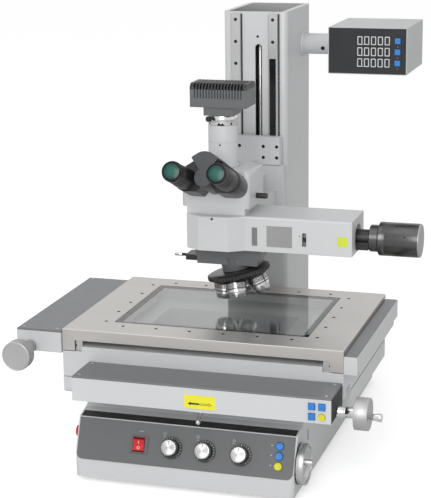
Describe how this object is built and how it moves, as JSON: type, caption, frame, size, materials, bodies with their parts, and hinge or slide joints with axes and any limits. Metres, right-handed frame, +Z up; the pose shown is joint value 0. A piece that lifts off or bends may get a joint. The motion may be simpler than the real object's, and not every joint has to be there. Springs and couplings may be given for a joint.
{
  "type": "measuring microscope",
  "caption": "Upright toolmaker's microscope: column stand, sliding cross stage with handwheels and scale, trinocular head with camera, revolving nosepiece, side lamp and swivel display.",
  "frame": {"origin": "on the bench plane, under the optical axis of the head", "axes": "+Z up, +X to the operator's right along the stage's long side, -Y towards the operator"},
  "size_m": [0.5965, 0.6024, 0.673],
  "materials": {
    "light_paint": "smooth light grey paint",
    "dark_paint": "dark grey satin paint",
    "panel_grey": "dark grey panel paint",
    "ground_steel": "ground and matt chromed cast iron",
    "steel": "brushed",
    "chrome": "polished",
    "black_anodised": "black anodised",
    "silver_anodised": "satin anodised",
    "grey_aluminium": "grey painted aluminium casting",
    "dark_aluminium": "dark painted aluminium casting",
    "black_plastic": "matt",
    "dark_plastic": "matt dark grey",
    "light_plastic": "matt light grey",
    "red_plastic": "gloss",
    "blue_plastic": "gloss",
    "yellow_plastic": "gloss",
    "glass": "polished",
    "rubber": "matt"
  },
  "bodies": {
    "stand": {"base_casting": "light_paint", "base_floor": "steel", "levelling_feet": "rubber", "lamp_condenser": "black_anodised", "control_panel": "panel_grey", "column": "light_paint", "z_guide_strips": "steel", "display_arm": "light_paint", "x_saddle": "light_paint", "x_drive_box": "grey_aluminium", "x_drive_cover": "dark_plastic"},
    "x_table": {"x_carriage": "light_paint", "y_rails": "steel", "y_scale_housing": "light_plastic", "y_drive_box": "grey_aluminium", "y_drive_cover": "dark_plastic"},
    "stage": {"stage_plate": "ground_steel", "stage_glass": "glass"},
    "x_drive": {"x_screw": "steel", "x_handwheel": "black_anodised"},
    "x_crank": {"x_crank_knob": "chrome"},
    "y_drive": {"y_screw": "steel", "y_handwheel": "silver_anodised"},
    "z_wheel": {"z_handwheel": "black_anodised"},
    "z_lay": {"z_lay_shaft": "steel"},
    "z_drive": {"z_screw": "steel"},
    "head": {"head_slide": "grey_aluminium", "illuminator_arm": "grey_aluminium", "lamp_housing": "grey_aluminium", "head_body": "grey_aluminium", "ocular_hub": "dark_aluminium", "phototube": "grey_aluminium", "camera": "dark_aluminium", "nosepiece_block": "dark_aluminium"},
    "nosepiece": {"turret": "black_anodised", "objectives": "chrome"},
    "ocular_left_side": {"ocular_tube_left": "dark_aluminium", "eyepiece_left": "black_anodised"},
    "ocular_right_side": {"ocular_tube_right": "dark_aluminium", "eyepiece_right": "black_anodised"},
    "display": {"display_case": "light_plastic"},
    "transmitted_dial_body": {"transmitted_dial": "silver_anodised"},
    "incident_dial_body": {"incident_dial": "silver_anodised"},
    "ring_dial_body": {"ring_dial": "silver_anodised"},
    "mains_rocker_body": {"mains_rocker": "red_plastic"},
    "yellow_lamp_key_body": {"yellow_lamp_key": "yellow_plastic"},
    "blue_lamp_key_low_body": {"blue_lamp_key_low": "blue_plastic"},
    "blue_lamp_key_top_body": {"blue_lamp_key_top": "blue_plastic"},
    "stop_button_body": {"stop_button": "red_plastic"},
    "blue_box_key_a_body": {"blue_box_key_a": "blue_plastic"},
    "blue_box_key_b_body": {"blue_box_key_b": "blue_plastic"},
    "blue_box_key_c_body": {"blue_box_key_c": "blue_plastic"},
    "yellow_box_key_body": {"yellow_box_key": "yellow_plastic"},
    "x_clutch_lever_body": {"x_clutch_lever": "chrome"},
    "aperture_lever_body": {"aperture_lever": "black_plastic"},
    "light_path_knob_body": {"light_path_knob": "black_plastic"},
    "filter_slider_body": {"filter_slider": "black_anodised"},
    "display_key_low_body": {"display_key_low": "blue_plastic"},
    "display_key_middle_body": {"display_key_middle": "blue_plastic"},
    "display_key_top_body": {"display_key_top": "blue_plastic"}
  },
  "joints": [
    {"name": "x_slide", "type": "slide", "parent": "stand", "child": "x_table", "axis": [1, 0, 0], "range_m": [-0.075, 0.075]},
    {"name": "y_slide", "type": "slide", "parent": "x_table", "child": "stage", "axis": [0, 1, 0], "range_m": [-0.065, 0.035]},
    {"name": "z_slide", "type": "slide", "parent": "stand", "child": "head", "axis": [0, 0, 1], "range_m": [-0.01, 0.15]},
    {"name": "x_drive_turn", "type": "hinge", "parent": "stand", "child": "x_drive", "pos_m": [0.231, -0.208, 0.142], "axis": [1, 0, 0], "range_deg": [-1400, 1400]},
    {"name": "x_crank_turn", "type": "hinge", "parent": "x_drive", "child": "x_crank", "pos_m": [0.28, -0.218, 0.142], "axis": [1, 0, 0], "continuous": true},
    {"name": "y_drive_turn", "type": "hinge", "parent": "x_table", "child": "y_drive", "pos_m": [-0.2605, -0.175, 0.191], "axis": [0, 1, 0], "range_deg": [-1200, 700]},
    {"name": "z_drive_turn", "type": "hinge", "parent": "stand", "child": "z_drive", "pos_m": [0, 0.216, 0.3], "axis": [0, 0, 1], "range_deg": [-200, 2750]},
    {"name": "z_lay_turn", "type": "hinge", "parent": "stand", "child": "z_lay", "pos_m": [0, 0, 0.051], "axis": [0, 1, 0], "range_deg": [-200, 2750]},
    {"name": "z_wheel_turn", "type": "hinge", "parent": "stand", "child": "z_wheel", "pos_m": [0.1, -0.196, 0.051], "axis": [1, 0, 0], "range_deg": [-2750, 200]},
    {"name": "nosepiece_turn", "type": "hinge", "parent": "head", "child": "nosepiece", "pos_m": [0, 0, 0.384], "axis": [0.225, 0, -0.9744], "continuous": true},
    {"name": "ocular_right_swing", "type": "hinge", "parent": "head", "child": "ocular_right_side", "pos_m": [0, -0.046, 0.4305], "axis": [0, 0.9336, -0.3584], "range_deg": [0, 35]},
    {"name": "ocular_left_swing", "type": "hinge", "parent": "head", "child": "ocular_left_side", "pos_m": [0, -0.046, 0.4305], "axis": [0, -0.9336, 0.3584], "range_deg": [0, 36]},
    {"name": "display_swivel", "type": "hinge", "parent": "stand", "child": "display", "pos_m": [0.209, 0.243, 0.61], "axis": [0, 0, 1], "range_deg": [-25, 25]},
    {"name": "transmitted_dial_turn", "type": "hinge", "parent": "stand", "child": "transmitted_dial_body", "pos_m": [-0.019, -0.21724, 0.06368], "axis": [0, -0.9253, 0.3792], "range_deg": [-135, 135]},
    {"name": "incident_dial_turn", "type": "hinge", "parent": "stand", "child": "incident_dial_body", "pos_m": [0.033, -0.21724, 0.06368], "axis": [0, -0.9253, 0.3792], "range_deg": [-135, 135]},
    {"name": "ring_dial_turn", "type": "hinge", "parent": "stand", "child": "ring_dial_body", "pos_m": [0.0885, -0.21724, 0.06368], "axis": [0, -0.9253, 0.3792], "range_deg": [-135, 135]},
    {"name": "mains_rocker_tip", "type": "hinge", "parent": "stand", "child": "mains_rocker_body", "pos_m": [-0.0705, -0.21724, 0.06368], "axis": [-1, 0, 0], "range_deg": [0, 14]},
    {"name": "yellow_lamp_key_press", "type": "slide", "parent": "stand", "child": "yellow_lamp_key_body", "axis": [0, 0.9253, -0.3792], "range_m": [0, 0.0012], "stiffness_N_per_m": 400},
    {"name": "blue_lamp_key_low_press", "type": "slide", "parent": "stand", "child": "blue_lamp_key_low_body", "axis": [0, 0.9253, -0.3792], "range_m": [0, 0.0012], "stiffness_N_per_m": 400},
    {"name": "blue_lamp_key_top_press", "type": "slide", "parent": "stand", "child": "blue_lamp_key_top_body", "axis": [0, 0.9253, -0.3792], "range_m": [0, 0.0012], "stiffness_N_per_m": 400},
    {"name": "stop_button_press", "type": "slide", "parent": "stand", "child": "stop_button_body", "axis": [1, 0, 0], "range_m": [0, 0.003], "stiffness_N_per_m": 500},
    {"name": "blue_box_key_a_press", "type": "slide", "parent": "stand", "child": "blue_box_key_a_body", "axis": [0, 1, 0], "range_m": [0, 0.0012], "stiffness_N_per_m": 400},
    {"name": "blue_box_key_b_press", "type": "slide", "parent": "stand", "child": "blue_box_key_b_body", "axis": [0, 1, 0], "range_m": [0, 0.0012], "stiffness_N_per_m": 400},
    {"name": "blue_box_key_c_press", "type": "slide", "parent": "stand", "child": "blue_box_key_c_body", "axis": [0, 1, 0], "range_m": [0, 0.0012], "stiffness_N_per_m": 400},
    {"name": "yellow_box_key_press", "type": "slide", "parent": "stand", "child": "yellow_box_key_body", "axis": [0, 1, 0], "range_m": [0, 0.0012], "stiffness_N_per_m": 400},
    {"name": "display_key_low_press", "type": "slide", "parent": "display", "child": "display_key_low_body", "axis": [0, 1, 0], "range_m": [0, 0.001], "stiffness_N_per_m": 400},
    {"name": "display_key_middle_press", "type": "slide", "parent": "display", "child": "display_key_middle_body", "axis": [0, 1, 0], "range_m": [0, 0.001], "stiffness_N_per_m": 400},
    {"name": "display_key_top_press", "type": "slide", "parent": "display", "child": "display_key_top_body", "axis": [0, 1, 0], "range_m": [0, 0.001], "stiffness_N_per_m": 400},
    {"name": "x_clutch_lever_turn", "type": "hinge", "parent": "stand", "child": "x_clutch_lever_body", "pos_m": [0.032, -0.2336, 0.13], "axis": [0, 0, 1], "range_deg": [-30, 30]},
    {"name": "aperture_lever_slide", "type": "slide", "parent": "head", "child": "aperture_lever_body", "axis": [0, 0, 1], "range_m": [-0.006, 0.006]},
    {"name": "light_path_knob_slide", "type": "slide", "parent": "head", "child": "light_path_knob_body", "axis": [1, 0, 0], "range_m": [0, 0.008]},
    {"name": "filter_slider_slide", "type": "slide", "parent": "head", "child": "filter_slider_body", "axis": [-1, 0, 0], "range_m": [0, 0.015]}
  ],
  "couplings": [
    {"joint": "x_drive_turn", "follows": "x_slide", "rad_per_m": 314.16},
    {"joint": "y_drive_turn", "follows": "y_slide", "rad_per_m": 314.16},
    {"joint": "z_drive_turn", "follows": "z_slide", "rad_per_m": 314.16},
    {"joint": "z_lay_turn", "follows": "z_slide", "rad_per_m": 314.16},
    {"joint": "z_wheel_turn", "follows": "z_slide", "rad_per_m": -314.16},
    {"joint": "ocular_left_swing", "follows": "ocular_right_swing", "ratio": 1}
  ]
}
